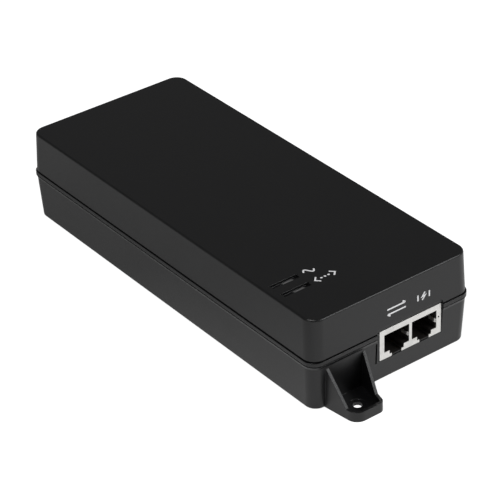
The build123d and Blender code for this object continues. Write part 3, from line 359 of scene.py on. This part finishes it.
def pad_film():
    return moulded("pad_film", (0.34, 0.36, 0.37), (0.44, 0.46, 0.47), 0.70, 1.5)


def small_ceramic():
    return moulded("small_ceramic", (0.24, 0.17, 0.10), (0.42, 0.32, 0.20), 0.45, 2.5)


def fuse_ceramic():
    return moulded("fuse_ceramic", (0.62, 0.61, 0.56), (0.74, 0.73, 0.68), 0.30, 3.0, 0.006)


def ferrite():
    """Sintered ferrite: dark grey, gritty, with a few pits."""
    finish = Finish("ferrite", IOR=1.8)
    finish.soften(0.2)
    finish.tint((0.022, 0.022, 0.024), (0.042, 0.041, 0.042), 1.2)
    finish.set("Roughness", finish.ranged(finish.noise(0.8), 0.3, 0.7, 0.46, 0.64))
    pits = finish.ranged(finish.cells(1.6), 0.0, 0.22, 0.0, 1.0)
    finish.bump(pits, 0.05)
    finish.bump(finish.noise(0.25, 4), 0.02)
    return finish.material


def copper_winding():
    """Enamelled copper turns lying side by side, their colour darker between the turns as painted shade."""
    finish = Finish("copper_winding", Metallic=1.0, Coat_Weight=0.6, Coat_Roughness=0.15)
    turns = finish.waves(0.7, "Z", 0.4)
    # The colour darkens towards the crease between turns: painted shade.
    finish.set("Base Color", finish.mixed(turns, (0.22, 0.065, 0.020), (0.66, 0.26, 0.09)))
    finish.set("Roughness", finish.ranged(finish.noise(1.0), 0.3, 0.7, 0.26, 0.40))
    finish.bump(turns, 0.15)
    return finish.material


def winding_tape():
    """Yellow polyester tape, wrapped with slight overlaps."""
    finish = Finish("winding_tape", IOR=1.55, Coat_Weight=0.4, Coat_Roughness=0.18)
    laps = finish.ranged(finish.waves(4.0, "Z", 0.6), 0.80, 0.95)
    finish.set("Base Color", finish.mixed(laps, (0.66, 0.48, 0.045), (0.52, 0.36, 0.030)))
    finish.set("Roughness", finish.ranged(finish.noise(2.0), 0.3, 0.7, 0.22, 0.34))
    finish.bump(laps, 0.05)
    finish.bump(finish.noise(3.0, 3), 0.05)
    return finish.material


def capacitor_sleeve():
    """Shrunk plastic sleeve, slightly mottled, with fine shrink lines."""
    finish = Finish("capacitor_sleeve", IOR=1.53, Coat_Weight=0.3, Coat_Roughness=0.2)
    finish.tint((0.012, 0.013, 0.030), (0.020, 0.021, 0.042), 5)
    finish.set("Roughness", finish.ranged(finish.noise(2.5), 0.3, 0.7, 0.28, 0.42))
    finish.bump(finish.noise(1.5, 3, along=(1, 1, 3)), 0.03)
    return finish.material


def print_ink():
    """White pad-printed ink, slightly uneven in cover."""
    finish = Finish("print_ink", IOR=1.5)
    finish.tint((0.90, 0.90, 0.91), (0.96, 0.96, 0.97), 0.8)
    finish.set("Roughness", finish.ranged(finish.noise(0.5), 0.3, 0.7, 0.50, 0.66))
    finish.bump(finish.noise(0.4, 3), 0.006)
    return finish.material


FINISHES = {maker.__name__: maker for maker in (
    case_plastic, jack_plastic, inlet_plastic, clear_plastic, label_film, sheet_plastic, steel,
    shield_steel, plated_brass, gold_wire, tinned_wire, board_laminate, lamp_plastic, blue_coating,
    green_coating, yellow_box, ferrite, copper_winding, winding_tape, chip_moulding, capacitor_sleeve,
    aluminium_plate, bobbin_moulding, pad_film, fuse_ceramic, small_ceramic)}


def dress_frame():
    """Gives every CAD node the finish of its material slot."""
    made = {}
    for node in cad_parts.values():
        for place in node.material_slots:
            slot = place.material.name.split(".")[0]
            if slot not in made:
                made[slot] = FINISHES[slot]()
            place.material = made[slot]


# ---------------------------------------------------------------- printed marks

INK_THICKNESS = 0.03 * MM
STROKE = 0.66 * MM
SHARPEST_MITRE = 0.4
DOT_SIDES = 24

DRAFT = math.radians(2.3)
PARTING = 22.6 * MM
FRONT_AT_PARTING = -96.5 * MM


def outline_of(points, width, closed):
    """The left and right edges of a stroke through the points, mitred at its corners."""
    left, right = [], []
    count = len(points)
    for index, point in enumerate(points):
        before = points[index - 1] if index or closed else None
        after = points[(index + 1) % count] if index < count - 1 or closed else None
        ways = [(b - a).normalized() for a, b in ((before, point), (point, after)) if a and b]
        way = sum(ways, Vector((0, 0))).normalized()
        side = Vector((-way.y, way.x))
        reach = width / 2 / max(SHARPEST_MITRE, side.dot(Vector((-ways[0].y, ways[0].x))))
        left.append(point + side * reach)
        right.append(point - side * reach)
    return left, right


def printed(name, strokes, dots, to_world):
    """A mark of strokes and round dots, in metres on a plane that to_world places, as one thin mesh."""
    mesh = bmesh.new()

    def prism(corners):
        low = [mesh.verts.new(to_world @ Vector((c.x, c.y, 0))) for c in corners]
        high = [mesh.verts.new(to_world @ Vector((c.x, c.y, INK_THICKNESS))) for c in corners]
        mesh.faces.new(high)
        mesh.faces.new(low[::-1])
        for a in range(len(corners)):
            b = (a + 1) % len(corners)
            mesh.faces.new((low[a], low[b], high[b], high[a]))

    for points, closed in strokes:
        left, right = outline_of(points, STROKE, closed)
        spans = len(points) if closed else len(points) - 1
        for a in range(spans):
            b = (a + 1) % len(points)
            prism((right[a], right[b], left[b], left[a]))
    for centre, radius in dots:
        turns = [2 * math.pi * step / DOT_SIDES for step in range(DOT_SIDES)]
        prism([centre + Vector((math.cos(turn), math.sin(turn))) * radius for turn in turns])
    data = bpy.data.meshes.new(name)
    mesh.to_mesh(data)
    mesh.free()
    mark = bpy.data.objects.new(name, data)
    bpy.context.scene.collection.objects.link(mark)
    data.materials.append(INK)
    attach(mark, "case")


def line(*points):
    """An open stroke through points given in millimetres."""
    return [Vector(point) * MM for point in points], False


def wave_mark():
    """One period of a sine wave, the sign of alternating current."""
    steps = 20
    length, rise = 4.9, 1.4
    shares = [step / steps for step in range(steps + 1)]
    points = [((share - 0.5) * length, rise * math.sin(2 * math.pi * share)) for share in shares]
    return [line(*points)], []


def link_mark():
    """Two angle brackets around three dots, the sign of a network port."""
    strokes = [line((side * 3.2, 1.7), (side * 4.9, 0), (side * 3.2, -1.7)) for side in (-1, 1)]
    dots = [(Vector((step * 1.75 * MM, 0)), 0.5 * MM) for step in (-1, 0, 1)]
    return strokes, dots


def exchange_mark():
    """Two opposed arrows, the sign of data in and out."""
    strokes = []
    for side in (-1, 1):
        level = side * 1.1
        strokes.append(line((-side * 4.6, level), (side * 4.3, level)))
        strokes.append(line((side * 3.1, level + side * 0.95), (side * 4.5, level)))
    return strokes, []


def flash_mark():
    """A lightning flash between two ticks, the sign of a powered line."""
    flash = line((0.75, 1.6), (-0.85, -0.15), (0.85, 0.15), (-0.75, -1.6))
    ticks = [line((side * 2.9, 1.3), (side * 2.9, -1.3)) for side in (-1, 1)]
    return [flash, *ticks], []


def place_marks():
    """Two marks lie on the top, beside the indicators, and two stand on the leaning wall above the ports.
    Their places are in millimetres."""
    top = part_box("top_cover")[1].z
    on_top = (("mark_ac_lamp", wave_mark, -17.4, -66.85), ("mark_port_lamp", link_mark, -15.0, -73.85))
    on_front = (("mark_data", exchange_mark, 1.7, 30.4), ("mark_poe", flash_mark, 15.4, 30.25))
    for name, mark, x, y in on_top:
        printed(name, *mark(), Matrix.Translation((x * MM, y * MM, top)))
    lean = Matrix.Rotation(math.pi / 2 - DRAFT, 4, "X")
    for name, mark, x, z in on_front:
        wall = FRONT_AT_PARTING + math.tan(DRAFT) * (z * MM - PARTING)
        printed(name, *mark(), Matrix.Translation((x * MM, wall, z * MM)) @ lean)


# ---------------------------------------------------------------- studio

ROOM_GLOW = 0.155
BACKDROP_GLOW = 1.0
SEEN_GLOW = 0.85
MIRRORED_GLOW = (0.15, 0.50)
GLOW_REACH = 0.08
FLOOR_HALF = 6.0
FLOOR_DROP = 0.02 * MM

CAMERA_PLACE = Vector((-0.450852, -0.618395, 0.498057))
CAMERA_AZIMUTH, CAMERA_ELEVATION, CAMERA_ROLL = -36.3585, 32.5011, -2.1746
CAMERA_LENS = 157.497


def aim(obj, place, target):
    """Puts an object at a place, looking at the target."""
    obj.location = place
    obj.rotation_euler = (Vector(target) - Vector(place)).to_track_quat("-Z", "Y").to_euler()


def softbox(name, place, width, height, radiance, tone=(1.0, 1.0, 1.0)):
    """A rectangular lamp that faces the object and gives the stated radiance, whatever its size."""
    light = bpy.data.lights.new(name, "AREA")
    light.shape = "RECTANGLE"
    light.size = width
    light.size_y = height
    light.color = tone
    light.energy = radiance * math.pi * width * height
    lamp = bpy.data.objects.new(name, light)
    bpy.context.scene.collection.objects.link(lamp)
    lamp.visible_camera = False
    aim(lamp, place, CENTRE)


def around(azimuth, elevation, distance):
    """A place at that distance from the object. Azimuth 0 is straight in front and 90 to its right."""
    turn, rise = math.radians(azimuth), math.radians(elevation)
    level = distance * math.cos(rise)
    return CENTRE + Vector((math.sin(turn) * level, -math.cos(turn) * level, distance * math.sin(rise)))


def light_studio():
    softbox("softbox_high_left", around(-70, 65, 1.6), 0.5, 0.5, radiance=11.0)
    softbox("softbox_front_right", around(36, 34, 1.6), 0.8, 0.7, radiance=5.0, tone=(0.98, 0.99, 1.0))
    softbox("softbox_left", around(-84, 15, 1.8), 0.4, 0.4, radiance=2.0)


def light_world():
    """A dim room for light and reflections, and a white backdrop where the camera sees past the floor."""
    world = bpy.data.worlds.new("room")
    bpy.context.scene.world = world
    world.use_nodes = True
    tree = world.node_tree
    tree.nodes.clear()
    output = tree.nodes.new("ShaderNodeOutputWorld")
    room, backdrop = (tree.nodes.new("ShaderNodeBackground") for _ in range(2))
    for background, strength in ((room, ROOM_GLOW), (backdrop, BACKDROP_GLOW)):
        background.inputs["Color"].default_value = (1.0, 1.0, 1.0, 1.0)
        background.inputs["Strength"].default_value = strength
    path = tree.nodes.new("ShaderNodeLightPath")
    choice = tree.nodes.new("ShaderNodeMixShader")
    tree.links.new(path.outputs["Is Camera Ray"], choice.inputs["Fac"])
    tree.links.new(room.outputs["Background"], choice.inputs[1])
    tree.links.new(backdrop.outputs["Background"], choice.inputs[2])
    tree.links.new(choice.outputs["Shader"], output.inputs["Surface"])


def lay_floor():
    """A flat white floor that glows. What the object mirrors of it is dimmer than what the camera sees, and
    dimmest at the rear left. The mirrored glow grows along the diagonal from there to the front right."""
    half = FLOOR_HALF
    data = bpy.data.meshes.new("floor")
    corners = [(-half, -half, 0), (half, -half, 0), (half, half, 0), (-half, half, 0)]
    data.from_pydata(corners, [], [(0, 1, 2, 3)])
    floor = bpy.data.objects.new("floor", data)
    bpy.context.scene.collection.objects.link(floor)
    finish = Finish("floor", Roughness=0.9, Specular_IOR_Level=0.1)
    finish.tint((0.50, 0.50, 0.50), (0.52, 0.52, 0.52), 120)
    finish.set("Emission Color", (1.0, 1.0, 1.0))
    parts = finish.node("ShaderNodeSeparateXYZ")
    finish.feed(parts.inputs[0], finish.place)
    forward = finish.sums("SUBTRACT", parts.outputs["X"], parts.outputs["Y"])
    mirrored = finish.ranged(forward, -GLOW_REACH, GLOW_REACH, *MIRRORED_GLOW)
    seen = finish.node("ShaderNodeLightPath").outputs["Is Camera Ray"]
    blend = finish.node("ShaderNodeMix")
    for socket, value in zip(blend.inputs[:1] + blend.inputs[2:4], (seen, mirrored, SEEN_GLOW)):
        finish.feed(socket, value)
    finish.set("Emission Strength", blend.outputs[0])
    data.materials.append(finish.material)
    floor.location.z = -FLOOR_DROP


def place_camera():
    """The camera stands in front and to the left of the object, about half a metre up."""
    camera = bpy.data.cameras.new("camera")
    camera.sensor_width = 36.0
    camera.lens = CAMERA_LENS
    camera.clip_start = 0.01
    eye = bpy.data.objects.new("camera", camera)
    bpy.context.scene.collection.objects.link(eye)
    turn = Matrix.Rotation(math.radians(CAMERA_AZIMUTH), 4, "Z")
    tilt = Matrix.Rotation(math.pi / 2 - math.radians(CAMERA_ELEVATION), 4, "X")
    roll = Matrix.Rotation(math.radians(CAMERA_ROLL), 4, "Z")
    eye.matrix_world = Matrix.Translation(CAMERA_PLACE) @ turn @ tilt @ roll
    bpy.context.scene.camera = eye
    bpy.context.scene.view_settings.view_transform = "Standard"


INK = print_ink()

place_camera()
light_world()
light_studio()
lay_floor()
dress_frame()
place_marks()
